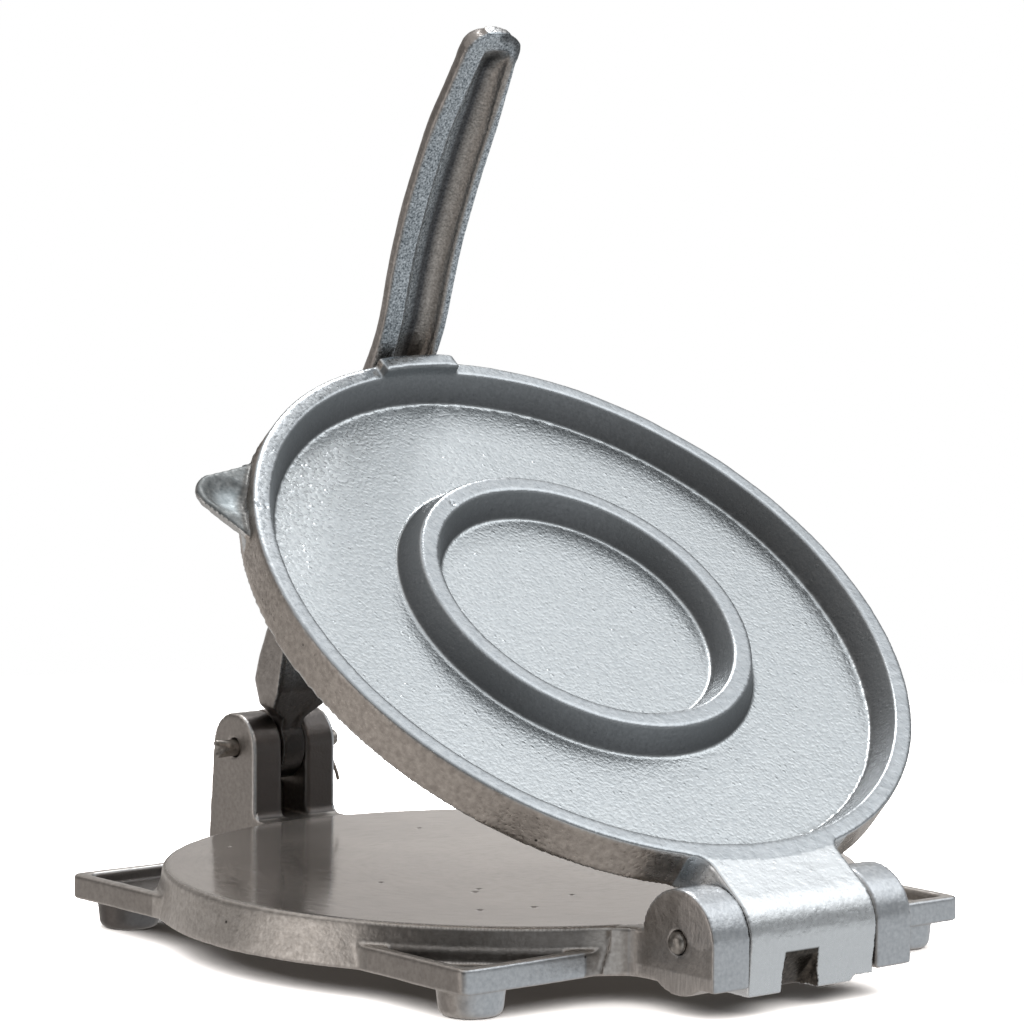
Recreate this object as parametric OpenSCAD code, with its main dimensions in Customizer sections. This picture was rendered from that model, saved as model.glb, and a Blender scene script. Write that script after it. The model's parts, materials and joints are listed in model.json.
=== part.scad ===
// Lever tortilla press in cast aluminium: a round base and a round lid that close on
// each other at a hinge, and a lever on two posts that presses the closed lid down.
// Origin: centre of the round base, on the surface that its feet stand on.
// +Y runs from the hinge to the lever posts, +Z is up.

/* [Lid position] */
// Angle that the lid stands open
lid_open = 38; // [36:0.5:42]

/* [Plates] */
// Diameter of the pressing face of the base
base_d = 198; // [180:1:200]
// Height of the wall of the round base
base_h = 13; // [11:0.5:18]
// How much wider the base is at the foot of its wall, all round
base_draft = 2; // [0.5:0.5:4]
// Thickness of the metal under the pressing face
base_face_t = 6; // [5:0.5:8]
// Thickness of the wall around the hollow underside
base_skirt_t = 7; // [5:0.5:12]
// Thickness of the ribs under the base
rib_t = 5; // [4:0.5:8]
// Diameter of the lid over its rim
lid_d = 200; // [192:1:212]
// Thickness of the lid at its rim
lid_h = 12.3; // [11:0.1:16]
// Gap left between the two plates when the press is shut
plate_gap = 0.3; // [0.2:0.05:1]

/* [Corner ears and feet] */
// Side of the square whose corners are the four ears
ear_side = 180; // [170:1:186]
// Height of the ears
ear_h = 6.8; // [5.5:0.1:10]
// Thickness of the raised edge of an ear
ear_wall = 3.5; // [2.5:0.25:6]
// Thickness of the ear under its sunken top
ear_floor = 3; // [2:0.25:5]
// Rounding of the ear's corner
ear_corner_r = 2.5; // [1:0.5:6]
// Diameter of a foot where it meets the ear
foot_d = 18.4; // [14:0.2:22]
// Height of the feet
foot_h = 8; // [6:0.5:14]
// Distance from the ear's edges to the foot's centre
foot_inset = 12; // [11:0.5:16]
// Rounding around the bottom of a foot
foot_round = 2.5; // [0.5:0.25:4]

/* [Hinge] */
// Distance from the edge of the lid to the hinge pin
hinge_reach = 13; // [13:0.5:18]
// How far the hinge pin lies below the pressing face
hinge_drop = 1.5; // [0.5:0.25:3]
// How far the hinge sits to the right of the plate's centre line
hinge_x = -1.5; // [-3:0.5:3]
// Radius of the rounded top of a hinge lug
lug_r = 14; // [12.5:0.25:16]
// Thickness of one hinge lug
lug_t = 12.5; // [9:0.5:18]
// Width of the knuckle of the lid
knuckle_w = 44.8; // [36:0.2:50]
// Clearance around the knuckle, at its sides and where it turns
knuckle_clear = 0.7; // [0.4:0.1:1.5]
// Diameter of the hinge pin
hinge_pin_d = 6; // [5:0.25:8]
// Radial clearance of the pin in the lugs
lug_hole_clear = 0.3; // [0.2:0.05:0.8]
// Radial clearance of the pin in the knuckle
knuckle_hole_clear = 0.1; // [0.05:0.01:0.3]
// How far each domed end of the pin stands out of its lug
hinge_pin_out = 2; // [1:0.25:5]
// Radius of the knuckle's barrel under the pin
barrel_r = 9; // [7.5:0.25:10]
// Reach of the two toes behind the pin
toe_reach = 19; // [17:0.5:20]
// Width of the notch between the toes at its mouth
notch_w = 15; // [10:0.5:20]
// Width of the notch at its bottom
notch_bottom_w = 11.5; // [8:0.5:14]
// Distance from the pin to the bottom of the notch
notch_reach = 13.25; // [11:0.25:14]
// How far the notch sits to the right of the knuckle's middle
notch_x = -4.2; // [-6:0.2:6]
// Length cut off the outer corner of the right toe
toe_cut = 8; // [3:0.5:10]

/* [Lid top] */
// Width of the flat rim
rim_w = 5; // [4:0.25:8]
// Depth of the recess inside the rim
recess_depth = 8.4; // [6:0.1:9]
// How far the recess wall leans inwards on the way down
recess_slope = 4.2; // [2:0.2:8]
// Outer diameter of the raised ring at its top
ring_d = 100.8; // [80:0.2:120]
// Width of the ring's flat top
ring_w = 5.3; // [4:0.1:9]
// Height of the ring above the recess
ring_h = 7.9; // [4:0.1:8]
// How far each flank of the ring leans out on the way down
ring_slope = 3.8; // [1:0.2:6]
// Width of the pad that the lever presses on
pad_w = 26.6; // [20:0.2:34]
// Height of the pad above the rim
pad_h = 3.1; // [2:0.1:4]
// How far the pad sits to the right of the centre line
pad_x = -1.5; // [-3:0.5:3]
// Rounding in plan where the neck of the knuckle meets the rim
neck_round = 5.5; // [3:0.5:8]

/* [Finger tab] */
// Direction of the finger tab, turned from the line through the pad
tab_angle = 60; // [40:1:75]
// How far the tab reaches beyond the rim
tab_reach = 14.5; // [10:0.5:20]
// Radius of the tab's rounded end
tab_r = 8.5; // [6:0.5:11]
// Half width of the tab where it meets the rim
tab_root = 18; // [14:0.5:26]
// Thickness of the tab at its end
tab_t = 3.6; // [2.5:0.1:6]
// Thickness of the tab where it leaves the rim
tab_root_t = 4.4; // [3.5:0.1:7]
// How far the top of the tab lies below the rim
tab_drop = 4.6; // [2:0.1:6]
// Depth of the scoop in the top of the tab
tab_scoop = 2; // [0.5:0.1:3]

/* [Lever posts] */
// Clearance between the closed lid and the posts
post_clear = 3.4; // [3.2:0.1:6]
// Radius of the rounded top of a post
post_r = 10.3; // [9:0.1:12]
// Thickness of one post
post_t = 10.6; // [8:0.2:14]
// Gap between the posts
post_gap = 9.2; // [8:0.1:12]
// Height of the lever pin above the pressing face
lever_pin_up = 21.2; // [20.5:0.1:24]
// How much a post is deeper at its foot than at its top
post_taper = 3; // [1:0.25:5]
// Height of the web that joins the posts at the back
web_h = 9; // [5:0.5:9]
// Thickness of that web
web_t = 8; // [5:0.5:9]
// Radius of the fillet in front of each post
post_fillet = 3; // [1:0.25:3]

/* [Lever pin and split pin] */
// Diameter of the lever pin
lever_pin_d = 5; // [4:0.25:5.5]
// Radial clearance of the lever pin in the posts
post_hole_clear = 0.5; // [0.2:0.05:0.7]
// Radial clearance of the lever pin in the lever's eye
eye_hole_clear = 0.1; // [0.05:0.01:0.3]
// How far the pinched end of the lever pin stands out of its post
pinch_out = 7; // [6:0.5:10]
// How far the domed end of the lever pin stands out of its post
dome_out = 8; // [7.5:0.5:11]
// Length of the pinched part of the lever pin
pinch_l = 4; // [3:0.25:5]
// Diameter of the split pin's shank
split_d = 1.8; // [1.4:0.1:2]
// Clearance between the split pin and the post beside it
split_clear = 2.6; // [2.3:0.1:3.5]
// Length of the split pin's straight leg below the lever pin
split_leg = 9.5; // [6:0.5:12]
// Tilt of the split pin from upright
split_tilt = 28; // [10:1:40]

/* [Lever] */
// Radius of the lever's eye
eye_r = 10.5; // [9.5:0.1:11]
// Side clearance between the eye and a post
eye_clear = 0.8; // [0.4:0.05:1.2]
// Clearance between the lever's front and the edge of the swinging lid
lever_clear = 0.8; // [0.5:0.1:3]
// Width of the lever just above the posts
lever_low_w = 21; // [18:0.2:24]
// Width of the handle at its broadest
handle_w = 23.6; // [20:0.2:28]
// Width of the handle at the start of its rounded end
handle_tip_w = 19.4; // [14:0.2:21]
// Thickness of the lever just above the posts
lever_low_t = 15; // [13:0.25:16]
// Thickness of the lever's neck between the posts
lever_root_t = 8.5; // [7:0.25:9]
// Thickness of the lever below the handle
lever_mid_t = 10.8; // [9:0.2:12]
// Thickness of the handle
handle_t = 8; // [7.5:0.25:11]
// Chamfer along the front edges of the lever
lever_chamfer = 0.7; // [0.3:0.1:1.5]
// Rounding along the back of the handle
lever_back_r = 6.5; // [4:0.5:7]
// Rounding along the back of the lever just above the posts
lever_low_back_r = 4.5; // [3:0.5:6]
// Depth of the channel along the handle
channel_depth = 4.6; // [2:0.1:5]
// Depth of the slight hollow in the front of the lever below the channel
lever_dish = 0.3; // [0.1:0.05:1]
// Width of the rims beside the channel
channel_rim = 4.6; // [3:0.1:6]
// Height of the lever's tip above the lever pin
lever_rise = 214; // [200:1:225]
// How far the lever's tip leans forward of the lever pin
lever_lean = 105.5; // [98:0.5:108]

/* [Hidden] */
$fn = 96;
e = 0.01;          // how far a cutting shape runs past the face that it cuts

// Heights, from the feet up
wall_z = foot_h;
ear_z = wall_z + ear_h;
face_z = wall_z + base_h;
hinge_z = face_z - hinge_drop;
lever_z = face_z + lever_pin_up;

// Radii and places in plan
base_r = base_d / 2;
base_foot_r = base_r + base_draft;
lid_r = lid_d / 2;
hinge_y = -lid_r - hinge_reach;
lug_in = knuckle_w / 2 + knuckle_clear;
lug_out = lug_in + lug_t;
post_y = lid_r + post_clear + post_r;
post_in = post_gap / 2;
post_out = post_in + post_t;
foot_at = ear_side / 2 - foot_inset;
face_chamfer = 0.6;
neck_fillet = 8;

// Lid heights, measured upwards from the hinge pin with the lid shut
lid_low = hinge_drop + plate_gap;
lid_top = lid_low + lid_h;
recess_z = lid_top - recess_depth;
recess_r = lid_r - rim_w;
lid_draft = 0.5;
ring_r = ring_d / 2;
pad_top = lid_top + pad_h;
flange_low = [-toe_reach, -3.2];          // outer corner of a toe
flange_in = [-toe_reach + 7.2, -8.6];     // inner corner of a toe

// ---- small shapes ----

// A square with true round corners
module rounded_square(side, r) {
    square([side - 2 * r, side], center = true);
    square([side, side - 2 * r], center = true);
    for (x = [-1, 1], y = [-1, 1])
        translate([x, y] * (side / 2 - r)) circle(r);
}

// The material that fills an inside corner at the origin, towards +X and +Y
module corner_fill(r) {
    difference() {
        translate([-e, -e]) square(r + e);
        translate([r, r]) circle(r);
    }
}

// Stands an outline drawn in Y and Z upright, centred on X, w wide
module across(w) {
    translate([-w / 2, 0, 0]) rotate([90, 0, 90]) linear_extrude(w) children();
}

module x_cylinder(r, l) {
    rotate([0, 90, 0]) cylinder(r = r, h = l, center = true);
}

// ---- base ----

module foot() {
    top_r = foot_d / 2;
    low_r = top_r - 0.6;
    rotate_extrude() {
        polygon([[0, 0], [low_r - foot_round, 0], [low_r - foot_round, foot_round],
                 [low_r, foot_round], [top_r, foot_h + e], [0, foot_h + e]]);
        intersection() {
            translate([low_r - foot_round, foot_round]) circle(foot_round);
            square([low_r, foot_round + e]);
        }
    }
}

// The four corners of a square plate, each with a sunken top inside a raised edge
module ears() {
    difference() {
        translate([0, 0, wall_z]) linear_extrude(ear_h) rounded_square(ear_side, ear_corner_r);
        translate([0, 0, wall_z + ear_floor]) linear_extrude(ear_h) difference() {
            rounded_square(ear_side - 2 * ear_wall, ear_corner_r);
            circle(base_foot_r - base_draft * ear_floor / base_h);
        }
    }
}

module disc() {
    translate([0, 0, wall_z]) rotate_extrude($fn = 192)
        polygon([[0, 0], [base_foot_r, 0], [base_r + face_chamfer / 4, base_h - face_chamfer],
                 [base_r - face_chamfer, base_h], [0, base_h]]);
}

// The space under the pressing face, inside the skirt
module hollow() {
    translate([0, 0, wall_z - e]) cylinder(r = base_r - base_skirt_t, h = base_h - base_face_t);
}

module ribs() {
    rib_h = base_h - base_face_t;
    for (a = [45, 135]) rotate(a) translate([0, 0, wall_z + rib_h / 2 + e])
        cube([2 * (base_r - base_skirt_t) + 2, rib_t, rib_h], center = true);
    translate([0, 0, wall_z]) cylinder(r = 14, h = rib_h + 1);
}

// The two arms that carry the hinge lugs, joined to the base by fillets
module hinge_arms() {
    translate([hinge_x, 0, 0]) for (s = [-1, 1]) scale([s, 1, 1]) {
        translate([lug_in, hinge_y, wall_z]) cube([lug_t, -hinge_y - 0.8 * base_r, base_h]);
        translate([lug_in, hinge_y - lug_r, wall_z]) cube([lug_t, lug_r, hinge_z - wall_z]);
        translate([lug_in + lug_t / 2, hinge_y, hinge_z]) x_cylinder(lug_r, lug_t);
    }
    arm_meets = sqrt(pow(base_r, 2) - pow(lug_out + abs(hinge_x), 2));
    for (s = [-1, 1]) translate([hinge_x + s * lug_out, -arm_meets, wall_z])
        linear_extrude(base_h) scale([s, -1]) corner_fill(neck_fillet);
}

// One side view for both posts: a round top on a foot that deepens towards the back
module post_outline() {
    back = post_y + post_r;
    translate([post_y, lever_z]) circle(post_r);
    polygon([[post_y - post_r, lever_z], [back, lever_z], [back + post_taper, wall_z],
             [0.85 * base_r, wall_z], [0.85 * base_r, face_z], [post_y - post_r, face_z]]);
    translate([post_y - post_r, face_z]) scale([-1, 1]) corner_fill(post_fillet);
}

module posts() {
    for (s = [-1, 1]) translate([s * (post_in + post_t / 2), 0, 0]) across(post_t) post_outline();
    back = post_y + post_r + post_taper;
    translate([0, (0.85 * base_r + back - 0.5) / 2, wall_z + base_h / 2])
        cube([post_gap + 2 * e, back - 0.5 - 0.85 * base_r, base_h], center = true);
    translate([0, post_y + post_r - web_t / 2, face_z + web_h / 2])
        cube([post_gap + 2 * e, web_t, web_h + 2 * e], center = true);
}

module base() {
    color("#a7a5a1") difference() {
        union() {
            difference() {
                union() {
                    disc();
                    ears();
                    hinge_arms();
                    posts();
                }
                hollow();
            }
            ribs();
            for (x = [-1, 1], y = [-1, 1]) translate([x * foot_at, y * foot_at, 0]) foot();
        }
        translate([hinge_x, hinge_y, hinge_z]) {
            x_cylinder(hinge_pin_d / 2 + lug_hole_clear, 2 * lug_out + 1);
            x_cylinder(lid_top + knuckle_clear, 2 * lug_in);
        }
        translate([0, post_y, lever_z])
            x_cylinder(lever_pin_d / 2 + post_hole_clear, 2 * post_out + 1);
    }
}

// ---- lid, drawn shut with the hinge pin along X through the origin ----

// Side view of the neck and knuckle: flat top, round over the pin, toes behind it
module knuckle_outline() {
    intersection() {
        circle(lid_top);
        translate([-lid_top, flange_low[1]]) square([lid_top + 8, lid_top + 8]);
    }
    polygon([[0, lid_top], [hinge_reach + 12, lid_top], [hinge_reach + 12, lid_low],
             [barrel_r + 1, lid_low], [0, 0], [-lid_top, 0]]);
    polygon([[0, 0], lid_top * [cos(155), sin(155)], flange_low, flange_in, [-4, 1 - barrel_r]]);
    circle(barrel_r);
}

module notch() {
    deep = toe_reach + 8;
    translate([notch_x, 0, -lid_top - 1]) linear_extrude(2 * lid_top + 2)
        polygon([[-notch_bottom_w / 2, -notch_reach], [notch_bottom_w / 2, -notch_reach],
                 [notch_w / 2, -deep], [-notch_w / 2, -deep]]);
}

// The rounded corners between the neck and the rim, kept clear of the turning lugs
module neck_corners() {
    side = knuckle_w / 2;
    rim_at = hinge_reach + lid_r - sqrt(pow(lid_r, 2) - pow(side + neck_round, 2));
    for (s = [-1, 1]) difference() {
        translate([s * side, rim_at, lid_low])
            linear_extrude(lid_h) scale([s, -1]) corner_fill(neck_round);
        translate([s * (side + neck_round), 0, 0])
            x_cylinder(lug_r + knuckle_clear, 2 * neck_round);
    }
}

module knuckle() {
    difference() {
        union() {
            across(knuckle_w) knuckle_outline();
            neck_corners();
        }
        notch();
        translate([knuckle_w / 2, -toe_reach, -lid_top]) rotate(45)
            cube([toe_cut * sqrt(2), toe_cut * sqrt(2), lid_top * 2 - 4], center = true);
    }
}

module lid_disc() {
    rotate_extrude($fn = 192)
        polygon([[0, lid_low], [lid_r - lid_draft, lid_low], [lid_r, lid_top - 0.4],
                 [lid_r - 0.4, lid_top], [0, lid_top]]);
}

module recess() {
    rotate_extrude($fn = 192)
        polygon([[0, recess_z], [recess_r - recess_slope, recess_z],
                 [recess_r, lid_top], [recess_r, lid_top + pad_h + 1], [0, lid_top + pad_h + 1]]);
}

module ring() {
    rotate_extrude($fn = 192)
        polygon([[ring_r - ring_w - ring_slope, recess_z - e], [ring_r + ring_slope, recess_z - e],
                 [ring_r, recess_z + ring_h], [ring_r - ring_w, recess_z + ring_h]]);
}

module pad() {
    translate([pad_x, 0, 0]) intersection() {
        translate([-pad_w / 2, 0, lid_low]) cube([pad_w, lid_r + 5, pad_top - lid_low]);
        translate([-pad_x, 0, lid_low]) cylinder(r = lid_r, h = pad_top, $fn = 192);
    }
}

// A finger tab: a root on the rim, a rounded end that thins towards its edge, and a scooped top
module tab() {
    end = lid_r + tab_reach - tab_r;
    top = lid_top - tab_drop;
    low = top - tab_root_t;
    inside = lid_r - rim_w;
    scoop_r = 16;
    rotate(tab_angle + 90) difference() {
        intersection() {
            linear_extrude(top) {
                polygon([[inside, -tab_root], [lid_r - 2, -tab_root],
                    [end + tab_r * 0.5, -tab_r * 0.87], [end + tab_r * 0.5, tab_r * 0.87],
                    [lid_r - 2, tab_root], [inside, tab_root]]);
                translate([end, 0]) circle(tab_r);
            }
            rotate([90, 0, 0]) linear_extrude(3 * tab_root, center = true)
                polygon([[inside, low], [lid_r + 2, low], [end, top - tab_t],
                         [end + tab_r + 1, top - tab_t / 2], [end + tab_r + 1, top], [inside, top]]);
        }
        translate([end - 1, 0, top + scoop_r - tab_scoop]) sphere(r = scoop_r);
    }
}

// The lid shut, about the hinge pin
module lid_shut() {
    plate_y = -hinge_y;
    difference() {
        union() {
            translate([-hinge_x, plate_y, 0]) {
                lid_disc();
                pad();
                tab();
            }
            knuckle();
        }
        translate([-hinge_x, plate_y, 0]) recess();
        x_cylinder(hinge_pin_d / 2 + knuckle_hole_clear, knuckle_w + 2);
    }
    translate([-hinge_x, plate_y, 0]) ring();
}

module lid() {
    color("#c9cfd2") translate([hinge_x, hinge_y, hinge_z]) rotate([lid_open, 0, 0]) lid_shut();
}

// ---- lever ----

// Points [y, z] along a cubic curve, closer together towards its end
function curve(p, n) = [for (i = [0:n]) let (t = sin(90 * i / n), u = 1 - t)
    u * u * u * p[0] + 3 * u * u * t * p[1] + 3 * u * t * t * p[2] + t * t * t * p[3]];
function unit(v) = v / norm(v);
// Even blend from a to b as t runs from 0 to 1
function blend(a, b, t) = a + (b - a) * min(1, max(0, t));

// The lever's front runs along the path of the lid's edge, then bends up into the handle
swing_r = norm([lid_r + hinge_reach + lid_r, pad_top]) + lever_clear;
tip = [post_y - lever_lean, lever_z + lever_rise];
low_angle = asin((lever_z + 18 - hinge_z) / swing_r);
high_angle = asin((lever_z + 103 - hinge_z) / swing_r);
function on_swing(a) = [hinge_y + swing_r * cos(a), hinge_z + swing_r * sin(a)];
bend = [tip[0] + 35, tip[1] - 76];          // end of the bend into the handle
bend_dir = unit([-0.24, 1]);
swing_end = on_swing(high_angle);
swing_dir = [-sin(high_angle), cos(high_angle)];
tip_dir = unit([-0.56, 1]);

swing_steps = 12;
bend_steps = 10;
handle_steps = 22;
swing_line = [for (i = [0:swing_steps])
    on_swing(low_angle + (high_angle - low_angle) * i / swing_steps)];
bend_line = curve([swing_end, swing_end + 12 * swing_dir, bend - 14 * bend_dir, bend], bend_steps);
handle_line = curve([bend, bend + 26 * bend_dir, tip - 28 * tip_dir, tip], handle_steps);
function tail(v) = [for (i = [1:len(v) - 1]) v[i]];
front_line = concat(swing_line, tail(bend_line), tail(handle_line));
last = len(front_line) - 1;
function along(i) = unit(front_line[min(last, i + 1)] - front_line[max(0, i - 1)]);

// Distances from the eye and from the tip, for the sizes that change along the lever
function rise(i) = front_line[i][1] - lever_z;
function to_tip(i) = norm(front_line[i] - tip);
end_round = 0.42 * handle_tip_w;
// Share of the full size at a distance s from a rounded end, never under the share least
function round_end(s, least) = max(least, sqrt(max(0, 1 - pow(max(0, 1 - s), 2))));
function lever_w(i) = let (
        low = blend(lever_low_w, handle_w, (rise(i) - 60) / 105),
        high = blend(handle_tip_w, low, (to_tip(i) - end_round) / 24),
        cap = round_end(to_tip(i) / end_round, 0.4))
    high * cap;
function lever_t(i) = blend(blend(lever_low_t, lever_mid_t, (rise(i) - 22) / 22), handle_t,
    (rise(i) - 38) / 90) * round_end(to_tip(i) / 4, 0.6);
function back_r(i) = blend(lever_low_back_r, lever_back_r, (rise(i) - 30) / 50);
function channel(i) = max(lever_dish,
    channel_depth * blend(0, 1, (rise(i) - 84) / 18) * blend(0, 1, (to_tip(i) - 4.5) / 7));

// One section, from the middle of the front round to the middle of the front again.
// x runs across the lever and the second value runs from its front to its back.
channel_steps = 5;
back_steps = 5;
function half_section(w, t, deep, r) = let (
        edge = min(lever_chamfer, w / 14), mouth = max(w / 5, w / 2 - channel_rim),
        round_r = min(r, w / 2 - edge, t - 2 * edge))
    concat(
        [for (k = [0:channel_steps]) let (a = 90 * k / channel_steps)
            [mouth * sin(a), deep * cos(a)]],
        [[w / 2 - edge, 0], [w / 2, edge]],
        [for (k = [0:back_steps]) let (a = 90 * k / back_steps)
            [w / 2 - round_r + round_r * cos(a), t - round_r + round_r * sin(a)]]);
function section(w, t, deep, r) = let (h = half_section(w, t, deep, r), n = len(h))
    concat(h, [for (k = [n - 1:-1:1]) [-h[k][0], h[k][1]]]);

// The lever starts inside the eye, runs up between the posts and widens above them
eye_w = post_gap - 2 * eye_clear;
root_dir = unit([-0.1, 1]);
root_at = [post_y - eye_r + 2.5, lever_z + 3];
flare_at = [post_y - eye_r + 0.4, lever_z + 8.8];
flare_wide = [post_y - eye_r - 1.8, lever_z + 12.8];

function section_points(w, t, deep, r, at, dir) = let (back = [dir[1], -dir[0]])
    [for (p = section(w, t, deep, r)) let (q = at + p[1] * back) [p[0], q[0], q[1]]];
rings = concat(
    [for (s = [[eye_w - 1.4, lever_root_t, root_at], [eye_w + 0.8, lever_root_t, flare_at],
               [lever_low_w - 2, lever_root_t + 1.5, flare_wide]])
        section_points(s[0], s[1], lever_dish, lever_low_back_r, s[2], root_dir)],
    [for (i = [0:last])
        section_points(lever_w(i), lever_t(i), channel(i), back_r(i), front_line[i], along(i))]);

// A closed solid through rings of equally many points
module skin(rings) {
    m = len(rings[0]);
    n = len(rings);
    polyhedron(
        points = [for (r = rings) each r],
        faces = concat(
            [[for (k = [0:m - 1]) k]],
            [for (j = [0:n - 2], k = [0:m - 1]) let (a = j * m + k, b = j * m + (k + 1) % m)
                each [[a, a + m, b + m], [a, b + m, b]]],
            [[for (k = [m - 1:-1:0]) (n - 1) * m + k]]),
        convexity = 6);
}

module lever() {
    color("#8b9297") difference() {
        union() {
            skin(rings);
            translate([0, post_y, lever_z]) x_cylinder(eye_r, eye_w);
        }
        translate([0, post_y, lever_z]) x_cylinder(lever_pin_d / 2 + eye_hole_clear, handle_w + 2);
    }
}

// ---- pins ----

// The cap of a ball: h high on a round of radius r, along +Z
module dome(r, h) {
    ball = (r * r + h * h) / (2 * h);
    intersection() {
        translate([0, 0, h - ball]) sphere(r = ball);
        cylinder(r = r, h = h);
    }
}

module hinge_pin() {
    r = hinge_pin_d / 2;
    dome_h = 0.5 * r;
    straight = 2 * (lug_out + hinge_pin_out - dome_h);
    color("#77787a") translate([hinge_x, hinge_y, hinge_z]) {
        x_cylinder(r, straight);
        for (s = [-1, 1]) translate([s * straight / 2, 0, 0]) rotate([0, 90 * s, 0]) dome(r, dome_h);
    }
}

// The cross hole that the split pin passes through, outside the right post
split_x = post_out + split_clear;

module lever_pin() {
    r = lever_pin_d / 2;
    dome_h = 0.5 * r;
    left = -post_out - pinch_out;
    right = post_out + dome_out - dome_h;
    color("#6a6865") translate([0, post_y, lever_z]) difference() {
        union() {
            translate([(left + pinch_l + right) / 2, 0, 0]) x_cylinder(r, right - left - pinch_l);
            translate([right, 0, 0]) rotate([0, 90, 0]) dome(r, dome_h);
            // pinched flat, so that it is thin one way and broad the other
            translate([left + pinch_l + e, 0, 0]) rotate([0, -90, 0])
                intersection() {
                    linear_extrude(pinch_l) square([lever_pin_d * 1.15, lever_pin_d], center = true);
                    rotate([90, 0, 0]) linear_extrude(lever_pin_d, center = true)
                        polygon([[-r * 0.9, 0], [r * 0.9, 0], [r * 1.15, pinch_l],
                                 [r * 0.45, pinch_l], [0, pinch_l * 0.55],
                                 [-r * 0.3, pinch_l * 0.8], [-r * 1.15, pinch_l * 0.8]]);
                    rotate([90, 0, 90]) linear_extrude(lever_pin_d * 1.2, center = true)
                        polygon([[-r * 0.98, 0], [r * 0.98, 0], [r * 0.45, pinch_l],
                                 [-r * 0.45, pinch_l]]);
                }
        }
        translate([split_x, 0, 0]) rotate([-split_tilt, 0, 0])
            cylinder(r = split_d / 2 + 0.15, h = 3 * r, center = true);
    }
}

// A split pin: a loop above the lever pin, one leg straight below it and one bent back
module lever_split_pin() {
    r = split_d / 2;
    loop_r = 1.6;
    seat = lever_pin_d / 2 + 0.3;
    color("#8d8f90") translate([split_x, post_y, lever_z]) rotate([-split_tilt, 0, 0]) {
        translate([0, 0, -seat - 1]) cylinder(r = r, h = 2 * seat + 2.4);
        translate([0, 0, seat + 1.4 + loop_r]) rotate([0, 90, 0])
            rotate_extrude() translate([loop_r, 0]) circle(r * 0.62);
        translate([0, -r * 0.4, -seat - split_leg]) cylinder(r = r * 0.58, h = split_leg);
        translate([0, r * 0.4, -seat - 0.6]) rotate([150, 0, 0]) cylinder(r = r * 0.58, h = 4.5);
    }
}

base();
lid();
lever();
hinge_pin();
lever_pin();
lever_split_pin();
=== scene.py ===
import json
import math

import bmesh
import bpy
import numpy as np
from mathutils import Matrix, Vector, noise


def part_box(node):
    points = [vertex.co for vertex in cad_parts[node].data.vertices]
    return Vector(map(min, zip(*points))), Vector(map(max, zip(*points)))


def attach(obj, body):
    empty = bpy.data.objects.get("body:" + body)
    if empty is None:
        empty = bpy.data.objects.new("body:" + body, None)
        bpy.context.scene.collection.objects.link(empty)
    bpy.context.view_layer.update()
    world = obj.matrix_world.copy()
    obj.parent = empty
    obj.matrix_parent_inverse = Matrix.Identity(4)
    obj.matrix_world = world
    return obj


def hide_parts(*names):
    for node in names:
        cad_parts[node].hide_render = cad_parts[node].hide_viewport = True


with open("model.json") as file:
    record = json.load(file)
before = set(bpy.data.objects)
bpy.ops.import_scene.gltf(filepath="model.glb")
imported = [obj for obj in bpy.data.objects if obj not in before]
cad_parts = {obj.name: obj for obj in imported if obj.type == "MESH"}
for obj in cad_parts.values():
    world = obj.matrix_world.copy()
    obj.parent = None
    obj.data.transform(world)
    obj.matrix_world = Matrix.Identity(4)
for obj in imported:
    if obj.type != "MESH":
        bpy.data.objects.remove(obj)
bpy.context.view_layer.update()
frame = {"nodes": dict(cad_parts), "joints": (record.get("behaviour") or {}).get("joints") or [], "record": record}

MM = 0.001
joints = {joint["name"]: joint for joint in frame["joints"]}
HINGE = Vector(joints["lid_hinge"]["pos_m"])
LEVER_PIN = Vector(joints["lever_hinge"]["pos_m"])
LID_OPEN = math.radians(-joints["lid_hinge"]["range_deg"][0])
# The height of the base's pressing face, where the record's second mount lies
FACE_Z = frame["record"]["mounts"][1]["pos_m"][2]
# The lid lies flat in its own place: hinge pin along X through the origin, pressing face down.
LID_PLACE = Matrix.Translation(HINGE) @ Matrix.Rotation(LID_OPEN, 4, "X")
LID_CENTRE = Vector((-HINGE.x, -HINGE.y, 0))
# Heights in that place: the pressing face, the recess's floor and the rim's top
LID_UNDER, RECESS_FLOOR, RIM_TOP = FACE_Z - HINGE.z, 5.7 * MM, 14 * MM
# Both pressing faces are turned out to this radius
FACE_R = 99 * MM


# ---- colours and nodes ----

def paint(hex_code):
    """An sRGB hex value as linear red, green, blue and alpha."""
    parts = [int(hex_code[i:i + 2], 16) / 255 for i in (1, 3, 5)]
    return tuple(p / 12.92 if p <= 0.04045 else ((p + 0.055) / 1.055) ** 2.4 for p in parts) + (1,)


def add(tree, kind, **settings):
    """Adds one shader node. A setting is a property of the node or an input: a socket is linked to
    that input and anything else is its value. An underscore stands for a space, in_1 for input 1."""
    node = tree.nodes.new("ShaderNode" + kind)
    for name, value in settings.items():
        if hasattr(node, name):
            setattr(node, name, value)
            continue
        socket = node.inputs[int(name[3:]) if name.startswith("in_") else name.replace("_", " ")]
        if isinstance(value, bpy.types.NodeSocket):
            tree.links.new(value, socket)
        else:
            socket.default_value = value
    return node


# ---- shapes ----

def piece(name, mesh, body, materials, replaced=(), place=None):
    """Adds a finished mesh to the scene as one piece of the press."""
    thing = bpy.data.objects.new(name, mesh)
    bpy.context.scene.collection.objects.link(thing)
    if place:
        thing.matrix_world = place
    for material in materials:
        mesh.materials.append(material)
    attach(thing, body)
    if replaced:
        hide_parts(*replaced)
    return thing


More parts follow.
